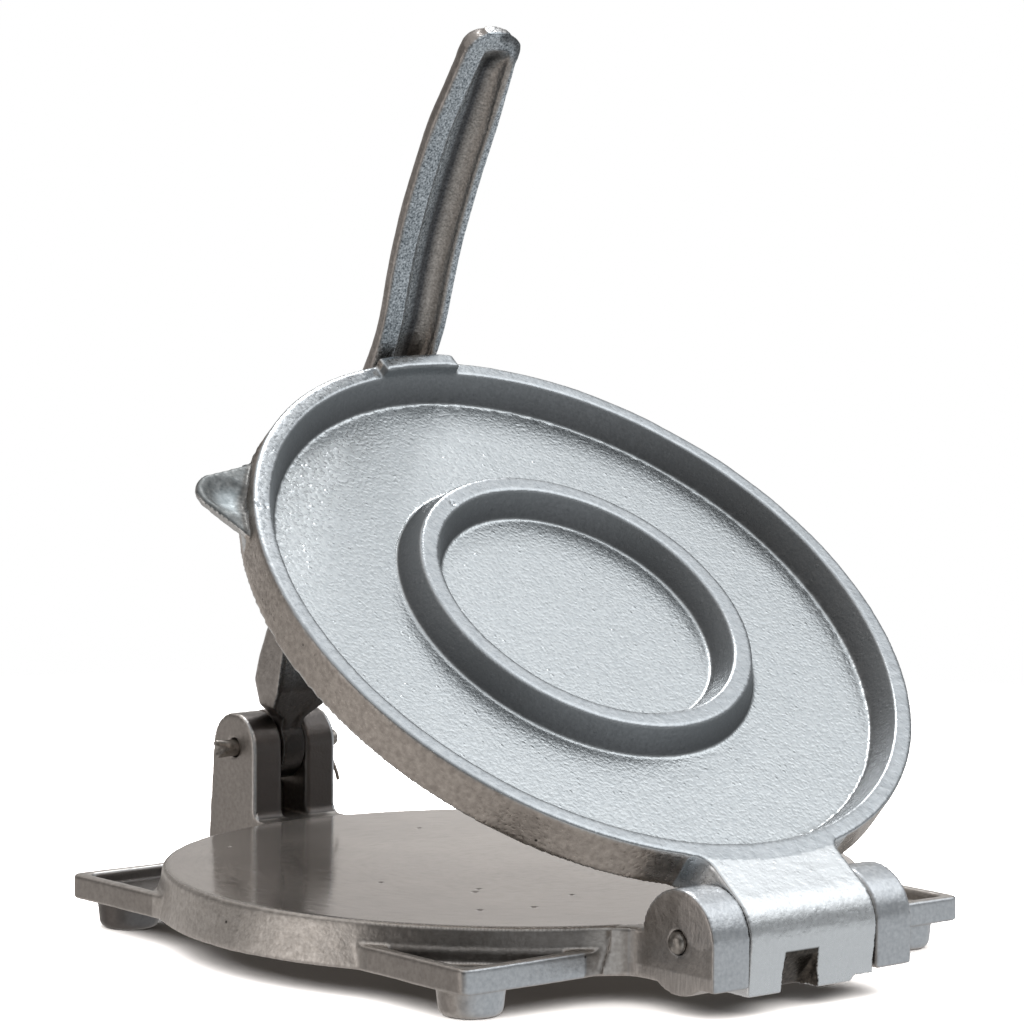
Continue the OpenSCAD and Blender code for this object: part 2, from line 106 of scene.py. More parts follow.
def sand_cast(node, place, cell, softening):
    """The node's solid as it comes out of the sand: evenly meshed, with no sharp edge left."""
    mesh = frame["nodes"][node].data.copy()
    mesh.transform(place.inverted())
    mesh.materials.clear()
    core = bpy.data.objects.new("core", mesh)
    bpy.context.scene.collection.objects.link(core)
    even = core.modifiers.new("even", "REMESH")
    even.mode, even.voxel_size, even.use_smooth_shade = "VOXEL", cell, True
    soft = core.modifiers.new("soft", "SMOOTH")
    soft.factor, soft.iterations = 0.5, softening
    bpy.context.view_layer.update()
    done = bpy.data.meshes.new_from_object(core.evaluated_get(bpy.context.evaluated_depsgraph_get()))
    bpy.data.objects.remove(core)
    bpy.data.meshes.remove(mesh)
    done.name = node + "_casting"
    return done


def read(mesh):
    """Vertex places and normals as arrays."""
    places = np.empty(len(mesh.vertices) * 3)
    mesh.vertices.foreach_get("co", places)
    normals = np.empty(len(mesh.vertices) * 3)
    mesh.vertices.foreach_get("normal", normals)
    return places.reshape(-1, 3), normals.reshape(-1, 3)


def waves(places, size, seed):
    """Smooth noise from -1 to 1 whose bumps are about size across. Each seed reads another part of it."""
    shift = Vector((seed * 17.3, seed * 5.9, seed * 3.1))
    return np.array([noise.noise(Vector(p) / size + shift) for p in places])


def push(mesh, places, normals, amount):
    """Moves every vertex along its normal by its own amount."""
    mesh.vertices.foreach_set("co", (places + normals * amount[:, None]).ravel())
    mesh.update()


def mark(mesh, name, values):
    """Stores one number per vertex for the materials to read."""
    layer = mesh.attributes.new(name, "FLOAT", "POINT")
    layer.data.foreach_set("value", np.asarray(values, dtype=np.float32))


def give_face(mesh, radius, middle, level):
    """Gives the second material to the flat face at that level, out to radius from its middle."""
    centres = np.empty(len(mesh.polygons) * 3)
    mesh.polygons.foreach_get("center", centres)
    centres = centres.reshape(-1, 3)
    away = np.hypot(centres[:, 0] - middle[0], centres[:, 1] - middle[1])
    chosen = (away < radius) & (np.abs(centres[:, 2] - level) < 0.9 * MM)
    mesh.polygons.foreach_set("material_index", chosen.astype(np.int32))


def rise(values, start, end):
    """0 at start, 1 at end, with an even rise between them."""
    return np.clip((values - start) / (end - start), 0, 1)


def band(values, start, full, fade, end):
    """0 up to start and from end on, and 1 between full and fade."""
    return rise(values, start, full) * rise(values, end, fade)


def dents(places, holes, reach, depth):
    """Small round dents, each a place in millimetres and a share of the reach and the depth."""
    sunk = np.zeros(len(places))
    for *hole, size in holes:
        away = np.linalg.norm(places - np.array(hole) * MM, axis=1)
        sunk -= size * depth * np.exp(-(away / (reach * size)) ** 2)
    return sunk


def turned(name, profile, steps=40):
    """A solid turned about X, from pairs of a place along X and a radius."""
    shape = bmesh.new()
    loops = []
    for x, radius in profile:
        if radius == 0:
            loops.append([shape.verts.new((x, 0, 0))])
            continue
        turns = [2 * math.pi * k / steps for k in range(steps)]
        loops.append([shape.verts.new((x, radius * math.cos(a), radius * math.sin(a))) for a in turns])
    for one, other in zip(loops, loops[1:]):
        for k in range(steps):
            corners = [one[k % len(one)], one[(k + 1) % len(one)],
                       other[(k + 1) % len(other)], other[k % len(other)]]
            shape.faces.new(list(dict.fromkeys(corners)))
    return finished(name, shape)


def finished(name, shape):
    """The mesh of a bmesh, smooth, with its faces turned outwards."""
    bmesh.ops.recalc_face_normals(shape, faces=shape.faces)
    for face in shape.faces:
        face.smooth = True
    mesh = bpy.data.meshes.new(name)
    shape.to_mesh(mesh)
    shape.free()
    return mesh


# ---- finishes ----

def finish(name, roughness, metallic=1.0):
    """An empty material: its node tree, its shader and the coordinates of the piece in metres."""
    material = bpy.data.materials.new(name)
    material.use_nodes = True
    tree = material.node_tree
    tree.nodes.clear()
    shader = add(tree, "BsdfPrincipled", Metallic=metallic, Roughness=roughness)
    add(tree, "OutputMaterial", Surface=shader.outputs["BSDF"])
    where = add(tree, "TexCoord").outputs["Object"]
    return material, tree, shader, where


def mottled(tree, where, size, low, high, spread=0.2):
    """Two colours that run into each other in patches size metres across."""
    cloud = add(tree, "TexNoise", Vector=where, Scale=1 / size, Detail=3.0)
    share = add(tree, "MapRange", Value=cloud.outputs[0], From_Min=0.5 - spread, From_Max=0.5 + spread)
    return add(tree, "MixRGB", Fac=share.outputs[0], Color1=paint(low), Color2=paint(high)).outputs[0]


def spots(tree, where, spacing, share, width):
    """1 in small round spots and 0 between them: that share of the pattern's cells has a spot."""
    cells = add(tree, "TexVoronoi", Vector=where, Scale=1 / spacing)
    chosen = add(tree, "Math", operation="LESS_THAN", in_0=cells.outputs["Color"], in_1=share)
    near = add(tree, "MapRange", interpolation_type="SMOOTHSTEP", Value=cells.outputs["Distance"],
               From_Min=width, From_Max=width * 0.3)
    return add(tree, "Math", operation="MULTIPLY", in_0=chosen.outputs[0], in_1=near.outputs[0]).outputs[0]


def streaks(tree, where, spacing, length, way):
    """Fine lines spacing metres apart and about length metres long, along the axis way."""
    scale = [1 / spacing] * 3
    scale[way] = 1 / length
    drawn = add(tree, "VectorMath", operation="MULTIPLY", in_0=where, in_1=tuple(scale))
    return add(tree, "TexNoise", Vector=drawn.outputs[0], Scale=1.0, Detail=3.0).outputs[0]


# Foundry sand has grains of about 0.3 mm, which is finer than the render shows. The peel that it leaves
# is drawn with bumps of this size.
SAND = 1.0 * MM
# A lathe leaves rings about 0.2 mm apart, and drawing leaves even finer lines along a rod. Both are
# drawn this coarse, so that they show. The teeth of a file are as far apart as they really are.
LATHE_GAP, DRAWN_GAP, FILE_GAP = 1.2 * MM, 0.5 * MM, 0.6 * MM


def silvered_casting():
    # Sand-cast aluminium under silver lacquer: pale and a little blue, with the fine orange peel of the
    # sand, whose grains glint. Shade is painted dark on the steep walls, darkest at their foot, and a
    # paler sheen is painted on the knuckle, whose peel is also shallower. The side of the plate is bare,
    # warm grey metal with dark pits, and the finger tab is worn grey. The shade mark paints dark shade
    # into the creases, the notch, the torn flash and the wall that faces -X.
    material, tree, shader, where = finish("silvered_sand_cast_aluminium", roughness=0.3)
    steep, side, dressed, knuckle_sheen, worn, shade = (
        add(tree, "Attribute", attribute_name=mark_name).outputs["Fac"]
        for mark_name in ("steep", "side", "dressed", "knuckle_sheen", "worn", "shade"))
    top = mottled(tree, where, 1.1 * MM, "#BFC4C7", "#D2D6D8")
    rim = mottled(tree, where, 2 * MM, "#B6BBBF", "#C5C9CC")
    # The walls' painted shade is darkest at the recess's floor and lightest at the rim's top
    height = add(tree, "SeparateXYZ", Vector=where).outputs["Z"]
    up = add(tree, "MapRange", Value=height, From_Min=RECESS_FLOOR, From_Max=RIM_TOP).outputs[0]
    wall = add(tree, "MixRGB", Fac=up, Color1=paint("#6E7072"), Color2=paint("#979B9E")).outputs[0]
    bare = mottled(tree, where, 1.6 * MM, "#A29B95", "#C2BBB4")
    scoop = mottled(tree, where, 2.4 * MM, "#939B9E", "#BCC3C6")
    dark = mottled(tree, where, 1.2 * MM, "#35322F", "#5D5751")
    holes = spots(tree, where, spacing=4.5 * MM, share=0.16, width=0.14)
    pits = add(tree, "Math", operation="MULTIPLY", in_0=holes, in_1=side).outputs[0]
    # Painted sheen on the knuckle, painted shade on the steep walls and wherever the shade mark lies
    face = top
    for share, colour in ((knuckle_sheen, paint("#E2E5E7")), (dressed, rim), (steep, wall), (side, bare),
                          (worn, scoop), (shade, dark), (pits, paint("#35322F"))):
        face = add(tree, "MixRGB", Fac=share, Color1=face, Color2=colour).outputs[0]
    tree.links.new(face, shader.inputs["Base Color"])
    peel = add(tree, "TexNoise", Vector=where, Scale=1 / SAND, Detail=2.0, Roughness=0.45)
    grains = spots(tree, where, spacing=2.1 * MM, share=0.25, width=0.34)
    dull = add(tree, "MapRange", Value=peel.outputs[0], From_Min=0.3, From_Max=0.7,
               To_Min=0.24, To_Max=0.38)
    blunt = add(tree, "Math", operation="MAXIMUM", in_0=steep, in_1=worn)
    matt = add(tree, "Math", operation="MULTIPLY_ADD", in_0=blunt.outputs[0], in_1=0.25,
               in_2=dull.outputs[0])
    tree.links.new(matt.outputs[0], shader.inputs["Roughness"])
    smooth = add(tree, "Math", operation="MAXIMUM", in_0=dressed, in_1=worn)
    smooth = add(tree, "Math", operation="MAXIMUM", in_0=smooth.outputs[0], in_1=knuckle_sheen)
    relief = add(tree, "MapRange", Value=smooth.outputs[0], To_Min=1.0, To_Max=0.5)
    skin = add(tree, "Bump", Strength=relief.outputs[0], Distance=0.13 * MM, Height=peel.outputs[0])
    skin = add(tree, "Bump", Strength=relief.outputs[0], Distance=0.07 * MM, Height=grains,
               Normal=skin.outputs[0])
    tree.links.new(skin.outputs[0], shader.inputs["Normal"])
    return material


def tumbled_casting():
    # Plain sand-cast aluminium, tumbled but not polished: warm grey, finely speckled, with a few dark
    # pits and with file marks where the gate and the flash were cut off. The flat sides of the posts and
    # lugs are painted darker as shade. A silvery sheen is painted over the fronts of the lugs, ears and
    # feet, and dark grey shade in the hidden places.
    material, tree, shader, where = finish("tumbled_sand_cast_aluminium", roughness=0.36)
    flat, front_sheen, shade_share, filed = (
        add(tree, "Attribute", attribute_name=mark_name).outputs["Fac"]
        for mark_name in ("flat", "silvered", "painted_shade", "filed"))
    speckled = mottled(tree, where, 1.4 * MM, "#C2BDB8", "#DCD8D4")
    flat_shade = mottled(tree, where, 1.4 * MM, "#A19C98", "#B4AFAB")
    stain = mottled(tree, where, 24 * MM, "#A19D99", "#DDDAD6")
    silver = mottled(tree, where, 1.2 * MM, "#BEC2C6", "#D2D5D8")
    lines = streaks(tree, where, spacing=FILE_GAP, length=5 * MM, way=2)
    shine = add(tree, "MapRange", Value=lines, From_Min=0.35, From_Max=0.65).outputs[0]
    cut = add(tree, "MixRGB", Fac=shine, Color1=paint("#ABA6A2"), Color2=paint("#C2BDB9")).outputs[0]
    holes = spots(tree, where, spacing=5 * MM, share=0.12, width=0.12)
    skin = add(tree, "MixRGB", Fac=flat, Color1=speckled, Color2=flat_shade).outputs[0]
    skin = add(tree, "MixRGB", blend_type="MULTIPLY", Fac=0.3, Color1=skin, Color2=stain).outputs[0]
    # Painted sheen, painted shade in dark grey, file marks and pits, in that order
    for share, colour in ((front_sheen, silver), (shade_share, paint("#5A5654")), (filed, cut),
                          (holes, paint("#33312F"))):
        skin = add(tree, "MixRGB", Fac=share, Color1=skin, Color2=colour).outputs[0]
    tree.links.new(skin, shader.inputs["Base Color"])
    peel = add(tree, "TexNoise", Vector=where, Scale=1 / (0.9 * SAND), Detail=3.0)
    dull = add(tree, "MapRange", Value=peel.outputs[0], From_Min=0.3, From_Max=0.7, To_Min=0.3, To_Max=0.44)
    tree.links.new(dull.outputs[0], shader.inputs["Roughness"])
    depth = add(tree, "Bump", Strength=1.0, Distance=0.08 * MM, Height=peel.outputs[0])
    scored = add(tree, "Math", operation="MULTIPLY", in_0=lines, in_1=filed)
    depth = add(tree, "Bump", Strength=1.0, Distance=0.04 * MM, Height=scored.outputs[0],
                Normal=depth.outputs[0])
    tree.links.new(depth.outputs[0], shader.inputs["Normal"])
    return material


def turned_face(name, middle):
    # Aluminium faced on a lathe for pressing: nearly a mirror under a thin dull film, with fine rings
    # that fray the edges of what it reflects, and a few dark pits.
    material, tree, shader, place = finish(name, roughness=0.10, metallic=0.64)
    where = add(tree, "VectorMath", operation="SUBTRACT", in_0=place, in_1=middle).outputs[0]
    away = add(tree, "VectorMath", operation="LENGTH", in_0=where).outputs["Value"]
    # The noise is read on a circle, at a height that grows with the radius, so it draws rings
    circle = 14.0
    turn = add(tree, "VectorMath", operation="NORMALIZE", in_0=where)
    ahead = add(tree, "VectorMath", operation="SCALE", in_0=turn.outputs[0], Scale=circle)
    ring = add(tree, "Math", operation="MULTIPLY", in_0=away, in_1=1 / LATHE_GAP)
    lift = add(tree, "CombineXYZ", Z=ring.outputs[0])
    at = add(tree, "VectorMath", operation="ADD", in_0=ahead.outputs[0], in_1=lift.outputs[0])
    rings = add(tree, "TexNoise", Vector=at.outputs[0], Scale=1.0, Detail=3.0).outputs[0]
    holes = spots(tree, where, spacing=9 * MM, share=0.10, width=0.07)
    base = mottled(tree, where, 26 * MM, "#C1BBB6", "#CDC7C1")
    base = add(tree, "MixRGB", Fac=holes, Color1=base, Color2=paint("#3A3836"))
    tree.links.new(base.outputs[0], shader.inputs["Base Color"])
    dull = add(tree, "MapRange", Value=rings, From_Min=0.3, From_Max=0.7, To_Min=0.07, To_Max=0.19)
    tree.links.new(dull.outputs[0], shader.inputs["Roughness"])
    scored = add(tree, "Bump", Strength=1.0, Distance=0.012 * MM, Height=rings)
    tree.links.new(scored.outputs[0], shader.inputs["Normal"])
    return material


def handled_casting():
    # Sand-cast aluminium handled until it is dull: blue grey and grainy on the rims, with glints of
    # single grains painted as pale spots, smoother and warmer on the sides, and brown grey in the
    # channel, with dark grey painted shade in the channel along its rim at -X. Painted shade also lies
    # round the channel's end and low on the front of the lever.
    material, tree, shader, where = finish("handled_sand_cast_aluminium", roughness=0.4)
    hollow, plain, shade_share = (
        add(tree, "Attribute", attribute_name=mark_name).outputs["Fac"]
        for mark_name in ("hollow", "plain", "painted_shade"))
    rims = mottled(tree, where, 0.6 * MM, "#626B72", "#E4EBF0", 0.19)
    flank = mottled(tree, where, 2 * MM, "#928D89", "#AAA5A1")
    across = add(tree, "SeparateXYZ", Vector=where).outputs["X"]
    out_of_shade = add(tree, "MapRange", Value=across, From_Min=3.2 * MM, From_Max=5.8 * MM).outputs[0]
    in_shade = mottled(tree, where, 0.7 * MM, "#444446", "#68696B")
    brown = mottled(tree, where, 0.7 * MM, "#9A948E", "#C4BEB8")
    channel = add(tree, "MixRGB", Fac=out_of_shade, Color1=in_shade, Color2=brown).outputs[0]
    # Glints of single grains, painted as pale spots
    grains = spots(tree, where, spacing=1.6 * MM, share=0.2, width=0.28)
    skin = rims
    for share, colour in ((grains, paint("#E4EBF0")), (plain, flank), (hollow, channel),
                          (shade_share, paint("#3A3837"))):
        skin = add(tree, "MixRGB", Fac=share, Color1=skin, Color2=colour).outputs[0]
    tree.links.new(skin, shader.inputs["Base Color"])
    peel = add(tree, "TexNoise", Vector=where, Scale=1 / (0.8 * SAND), Detail=3.0)
    dull = add(tree, "MapRange", Value=peel.outputs[0], From_Min=0.3, From_Max=0.7,
               To_Min=0.28, To_Max=0.46)
    tree.links.new(dull.outputs[0], shader.inputs["Roughness"])
    relief = add(tree, "Bump", Strength=1.0, Distance=0.16 * MM, Height=peel.outputs[0])
    tree.links.new(relief.outputs[0], shader.inputs["Normal"])
    return material


def drawn_steel():
    # Plain drawn steel rod: grey, half bright, stained in patches, with fine lines along it.
    material, tree, shader, where = finish("drawn_steel_rod", roughness=0.34)
    base = mottled(tree, where, 1.6 * MM, "#716D69", "#ADA8A2")
    tree.links.new(base, shader.inputs["Base Color"])
    lines = streaks(tree, where, spacing=DRAWN_GAP, length=6 * MM, way=0)
    skin = add(tree, "Bump", Strength=1.0, Distance=0.06 * MM, Height=lines)
    tree.links.new(skin.outputs[0], shader.inputs["Normal"])
    return material


silvered, tumbled, handled = silvered_casting(), tumbled_casting(), handled_casting()
steel = drawn_steel()
base_face = turned_face("turned_aluminium_face_of_the_base", (0, 0, 0))
lid_face = turned_face("turned_aluminium_face_of_the_lid", (LID_CENTRE.x, LID_CENTRE.y, 0))


# ---- the lid ----

# Radii from the lid's middle, outwards: the raised ring's sides, the foot and the top of the recess's
# wall, the plate's edge, and where a thumb lifts the finger tab
RING_IN, RING_OUT = 44.5 * MM, 51 * MM
FLOOR_R, RECESS_R = 90.8 * MM, 95 * MM
PLATE_R, TOUCH_R = 100 * MM, 103 * MM
TAB_TOP = 10 * MM
# Directions on the lid in degrees, turned from +X: the finger tab, and a seam of the mould
TAB_TURN = 150
SEAM_TURN, SEAM_WIDE = 152.8, 0.25
# The torn flash beside the tab: where it starts, is full, starts to fade and ends
FLASH_TURNS = (129, 138, 139, 146)
# The finger tab was cast a little askew. Between the first and the second direction of each step it
# leans further away from the hinge, by so many millimetres. Its root nearer the hinge is thinner.
TAB_STEPS = ((132, 141, 2.2), (143, 150, -0.9), (151, 158, 2.2), (160, 174, -3.5))
TAB_THINNED, THINNED_FROM, THINNED_TO = 0.6, 151, 159
# The notch in the knuckle: its middle along X, how far from the hinge its back wall lies, half its
# width and how much its sides lean
NOTCH_X, NOTCH_REACH, NOTCH_HALF, NOTCH_LEAN = -4.2 * MM, 13.25 * MM, 6.0 * MM, 0.13
# Sand holes in the lid's top, in millimetres in its own place, and how large each one is
LID_HOLES = ((-49.3, 190.3, 14.1, 1.0), (-20.6, 154.4, 13.6, 1.0), (6.4, 70.0, 13.6, 0.8),
             (45.5, 36.6, 14.1, 0.8), (-84.0, 157.2, 13.8, 0.9), (-86.5, 157.4, 13.8, 0.7))


def lid_mesh():
    mesh = sand_cast("lid", LID_PLACE, cell=0.6 * MM, softening=2)
    places, normals = read(mesh)
    x, y, z = places.T
    upward = normals[:, 2]
    out = np.hypot(x - LID_CENTRE.x, y - LID_CENTRE.y)
    beyond = out - PLATE_R
    turn = np.degrees(np.arctan2(y - LID_CENTRE.y, x - LID_CENTRE.x))
    steep = 1 - np.abs(upward)
    broad, fine = waves(places, 13 * MM, 1), waves(places, 2.2 * MM, 2)

    # The skin that the sand left: smoother on the recess's floor, rough along the foot of its wall, and
    # none on the pressing face and just over it, where the lid meets the base
    under = rise(-upward, 0.7, 0.95) * (out < FACE_R)
    floor = rise(upward, 0.85, 0.97) * (out < RECESS_R)
    foot = np.exp(-((out - FLOOR_R) / (0.9 * MM)) ** 2) * (np.abs(z - RECESS_FLOOR) < 1.2 * MM)
    free = (1 - under) * rise(z - LID_UNDER, 0.2 * MM, 2.2 * MM)
    rough = (0.14 - 0.10 * floor) * broad + (0.05 - 0.02 * floor) * fine + 0.12
    rough = free * rough + 0.22 * foot * fine
    # A torn edge of flash beside the tab, and a fine ridge across the rim where two moulds met
    flash = band(turn, *FLASH_TURNS) * rise(z, RIM_TOP - 0.4 * MM, RIM_TOP - 1.8 * MM)
    flash = flash * (beyond > -1 * MM) * (beyond < 2.5 * MM) * rise(steep, 0.4, 0.7)
    seam = np.exp(-((turn - SEAM_TURN) / SEAM_WIDE) ** 2) * (out > RECESS_R) * (z > RIM_TOP - 1 * MM)
    pushed = (rough + flash * (0.9 + 0.5 * fine) + 0.3 * seam) * MM
    pushed += dents(places, LID_HOLES, reach=0.7 * MM, depth=0.9 * MM)
    lean = sum(step * rise(turn, start, end) for start, end, step in TAB_STEPS)
    lean = lean * rise(beyond, -1.5 * MM, 0) * MM
    thinned = TAB_THINNED * rise(turn, THINNED_FROM, THINNED_TO)
    thinned = thinned * rise(beyond, -0.2 * MM, 0.3 * MM) * rise(z, 1.5 * MM, 4.5 * MM)
    places[:, 0] += lean * np.sin(np.radians(turn))
    places[:, 1] -= lean * np.cos(np.radians(turn))
    places[:, 2] += thinned * np.clip(TAB_TOP - z, 0, None)
    push(mesh, places, normals, pushed)

    # The plate's side is bare. Shade is painted on the steep walls inside it, and on the rim's outer
    # edge at -X, where it dims a highlight.
    outside = (beyond > -2.5 * MM) | (y < 22 * MM)
    lip = (beyond > 1 * MM) & (np.abs(turn - TAB_TURN) < 20)
    mark(mesh, "side", rise(steep, 0.5, 0.8) * outside * (y > 17 * MM) * (1 - 0.6 * lip))
    edge = rise(beyond, -1.6 * MM, -0.6 * MM) * (beyond < 0.5 * MM) * (z > RIM_TOP - 2 * MM)
    dimmed_edge = 0.5 * edge * rise(x - LID_CENTRE.x, -60 * MM, -80 * MM)
    mark(mesh, "steep", np.maximum(rise(steep, 0.12, 0.35) * ~outside, dimmed_edge))
    # The tops of the rim and of the ring are dressed, and a paler sheen is painted on the knuckle
    rim = (beyond > -6 * MM) & (beyond < 1 * MM)
    ring = (out > RING_IN) & (out < RING_OUT)
    mark(mesh, "dressed", (z > RIM_TOP - 1.2 * MM) & (rim | ring) & (upward > 0.6))
    mark(mesh, "knuckle_sheen", rise(y, 24 * MM, 12 * MM))
    # The tab's top is worn. Shade is painted round the place that is touched and along the tab's root.
    tab = (np.abs(turn - TAB_TURN) < 13) & (z < TAB_TOP + 1 * MM) & (upward > 0.2)
    mark(mesh, "worn", tab * rise(beyond, 0.2 * MM, 1 * MM))
    touched = LID_CENTRE + TOUCH_R * Vector((math.cos(math.radians(TAB_TURN)),
                                             math.sin(math.radians(TAB_TURN)), 0))
    off_centre = rise(np.hypot(x - touched.x, y - touched.y), 3.5 * MM, 7.5 * MM)
    in_shade = tab * rise(beyond, 0.5 * MM, 1.5 * MM) * off_centre
    root = tab * band(beyond, -0.4 * MM, 0.2 * MM, 1.5 * MM, 3.5 * MM)
    # Shade is painted on the recess's wall where it faces -X, on the torn flash and in the notch
    shaded_wall = rise(-normals[:, 0], 0.2, 0.9) * ~outside * (out > FLOOR_R - 0.8 * MM)
    notch = (np.abs(x - NOTCH_X) < NOTCH_HALF - NOTCH_LEAN * (y + NOTCH_REACH)) \
        & (y < 0.3 * MM - NOTCH_REACH)
    mark(mesh, "shade", np.maximum.reduce([0.75 * flash, 0.8 * root, 0.6 * in_shade, 0.28 * shaded_wall, notch]))
    give_face(mesh, FACE_R - 0.7 * MM, (LID_CENTRE.x, LID_CENTRE.y), LID_UNDER)
    return mesh


piece("lid_casting", lid_mesh(), "lid", [silvered, lid_face], ["lid"], LID_PLACE)


# ---- the base ----

# The outer side of the lug at -X, the outer sides of the posts, the middles of the feet along both
# axes, the inner sides of the ears, and the radius beyond which all metal belongs to an ear or a lug
LUG_SIDE = -37.1 * MM
POST_OUT = 15.2 * MM
FOOT_AT = 78 * MM
EAR_INSIDE = 86.7 * MM
OFF_PLATE = 102.6 * MM
# Pits in the pressing face, in millimetres, and how large each one is
FACE_PITS = ((-33.7, -26.6, 21, 0.8), (-37.5, -29.6, 21, 1.0), (-53.7, -51.6, 21, 0.9),
             (-39.2, -57.0, 21, 1.0), (-19.1, -49.0, 21, 0.7), (-49.0, -2.3, 21, 0.8),
             (-47.6, 70.9, 21, 1.0), (17.1, 64.1, 21, 0.8))


def base_mesh():
    mesh = sand_cast("base", Matrix.Identity(4), cell=0.65 * MM, softening=2)
    places, normals = read(mesh)
    x, y, z = places.T
    sideways, forward, upward = np.abs(normals[:, 0]), -normals[:, 1], normals[:, 2]
    out = np.hypot(x, y)
    turn = np.degrees(np.arctan2(y, x))

    # The skin that the sand left, on all but the pressing face and what the press stands on
    level = (np.abs(z - FACE_Z) < 0.4 * MM) & (upward > 0.9) & (out < FACE_R)
    smooth = level | (z < 0.3 * MM)
    rough = 0.13 * waves(places, 12 * MM, 3) + 0.05 * waves(places, 2.6 * MM, 4) + 0.12
    pits = dents(places, FACE_PITS, reach=0.5 * MM, depth=0.8 * MM)
    push(mesh, places, normals, ~smooth * rough * MM + pits)

    # Painted shade: on the far foot, between the posts, in the pockets of the two ears at -X, and on the
    # plate's side over the ear at -X, -Y
    far_foot = (np.hypot(x + FOOT_AT, y - FOOT_AT) < 11 * MM) & (z < 8 * MM)
    between = (np.abs(x) < POST_OUT - 0.8 * MM) & (y > 90 * MM) & (z > FACE_Z + 0.5 * MM)
    hidden = between * rise(forward + 0.3 * upward, 0.1, 0.6)
    pocket = (np.abs(x) < EAR_INSIDE) & (np.abs(y) < EAR_INSIDE) & (out > OFF_PLATE) \
        & (x < 0) & (z > 9 * MM) & (z < 14 * MM)
    over_ear = rise(np.abs(turn + 135), 19, 16) * (out < OFF_PLATE) * (np.abs(upward) < 0.5)
    mark(mesh, "painted_shade", np.maximum.reduce([0.9 * far_foot, hidden, 0.8 * pocket, 0.6 * over_ear]))
    # The flat sides of the posts, lugs and ears, painted darker as shade
    mark(mesh, "flat", rise(sideways, 0.85, 0.97) * ((out > OFF_PLATE) | (z > 22 * MM)))
    # A silvery sheen is painted on all that faces the front, and on the tops of the lugs
    on_lug = (y < -99 * MM) & (z > 15 * MM)
    front = np.maximum(rise(forward, 0.4, 0.8), on_lug * rise(upward, 0.1, 0.6))
    mark(mesh, "silvered", front * (out > OFF_PLATE - 0.1 * MM))
    # The side of the lug at -X was filed at its top corner and along the foot, where flash had been
    corner = np.hypot(y + 121 * MM, z - 27 * MM) < 8 * MM
    flash = (z < 12 * MM) & (y < -92 * MM)
    lug_side = (x > LUG_SIDE - 1.5 * MM) & (x < LUG_SIDE + 1.2 * MM)
    mark(mesh, "filed", lug_side * rise(-normals[:, 0], 0.7, 0.9) * (corner | flash))
    give_face(mesh, FACE_R - 0.7 * MM, (0, 0), FACE_Z)
    return mesh


piece("base_casting", base_mesh(), "base", [tumbled, base_face], ["base"])


# ---- the lever ----

# How far the tip's corner at +X stands out past the solid's round one
CORNER_OUT = 1.2 * MM
# The channel in the handle: its middle along X near the tip, the radius of its round end, and how far
# it lies off the middle of the handle, which makes the rim at -X much the broader one
CHANNEL_X, CHANNEL_END_R, CHANNEL_ASIDE = 1.5 * MM, 7 * MM, 2.4 * MM
# All of the channel lies over this height
CHANNEL_FOOT = 100 * MM


def lever_mesh():
    mesh = sand_cast("lever", Matrix.Identity(4), cell=0.45 * MM, softening=2)
    places, normals = read(mesh)
    x, z = places[:, 0].copy(), places[:, 2]
    forward = -normals[:, 1]
    below_tip = z.max() - z
    rough = 0.10 * waves(places, 9 * MM, 5) + 0.05 * waves(places, 2.0 * MM, 6) + 0.10

    places[:, 0] += CORNER_OUT * rise(below_tip, 10 * MM, 5 * MM) * rise(x, 2 * MM, 7 * MM)
    # Each level moves aside by its place between the handle's two sides, so the outline stays
    levels = np.linspace(CHANNEL_FOOT, z.max() - 2 * MM, 50)
    near = [x[np.abs(z - level) < 2 * MM] for level in levels]
    left = np.interp(z, levels, [part.min() for part in near])
    right = np.interp(z, levels, [part.max() for part in near])
    across = np.clip((x - left) / (right - left), 0, 1)
    aside = 4 * across * (1 - across) * rise(z, 110 * MM, 130 * MM) * rise(below_tip, 3 * MM, 9 * MM)
    places[:, 0] += CHANNEL_ASIDE * aside
    push(mesh, places, normals, rough * MM)

    round_end = below_tip - (x - CHANNEL_X) ** 2 / (2 * CHANNEL_END_R)
    inside = band(x, -3.4 * MM, -0.4 * MM, 7.2 * MM, 8.4 * MM) * rise(round_end, 6.5 * MM, 9 * MM)
    mark(mesh, "hollow", rise(forward, 0.0, 0.3) * inside * rise(z, 118 * MM, 140 * MM))
    mark(mesh, "plain", rise(forward, 0.65, 0.35))
    # Painted shade round the channel's end beside the narrow rim, where it dims the tip's highlight, and
    # low on the front of the lever, where the lid shades it
    from_middle = np.hypot(x - CHANNEL_X, np.clip(9 * MM - below_tip, 0, None))
    end = rise(from_middle, 3.8 * MM, 5.8 * MM) * rise(x, 0, 2 * MM) * rise(below_tip, 13 * MM, 8 * MM)
    low = rise(forward, 0.3, 0.6) * rise(z, 115 * MM, 60 * MM)
    mark(mesh, "painted_shade", np.maximum(0.75 * end, low))
    return mesh


piece("lever_casting", lever_mesh(), "lever", [handled], ["lever"])


# ---- the pins ----

def dome(tip, height, radius, way):
    """Pairs of a place along X and a radius, from the tip of a domed end inwards."""
    turns = [math.pi / 2 * k / 8 for k in range(9)]
    return [(tip + way * height * (1 - math.cos(a)), radius * math.sin(a)) for a in turns]


def hammered(mesh, seed, depth=0.09 * MM):
    """The mesh with the shallow marks of a hammer."""
    places, normals = read(mesh)
    push(mesh, places, normals, depth * waves(places, 1.6 * MM, seed))
    return mesh


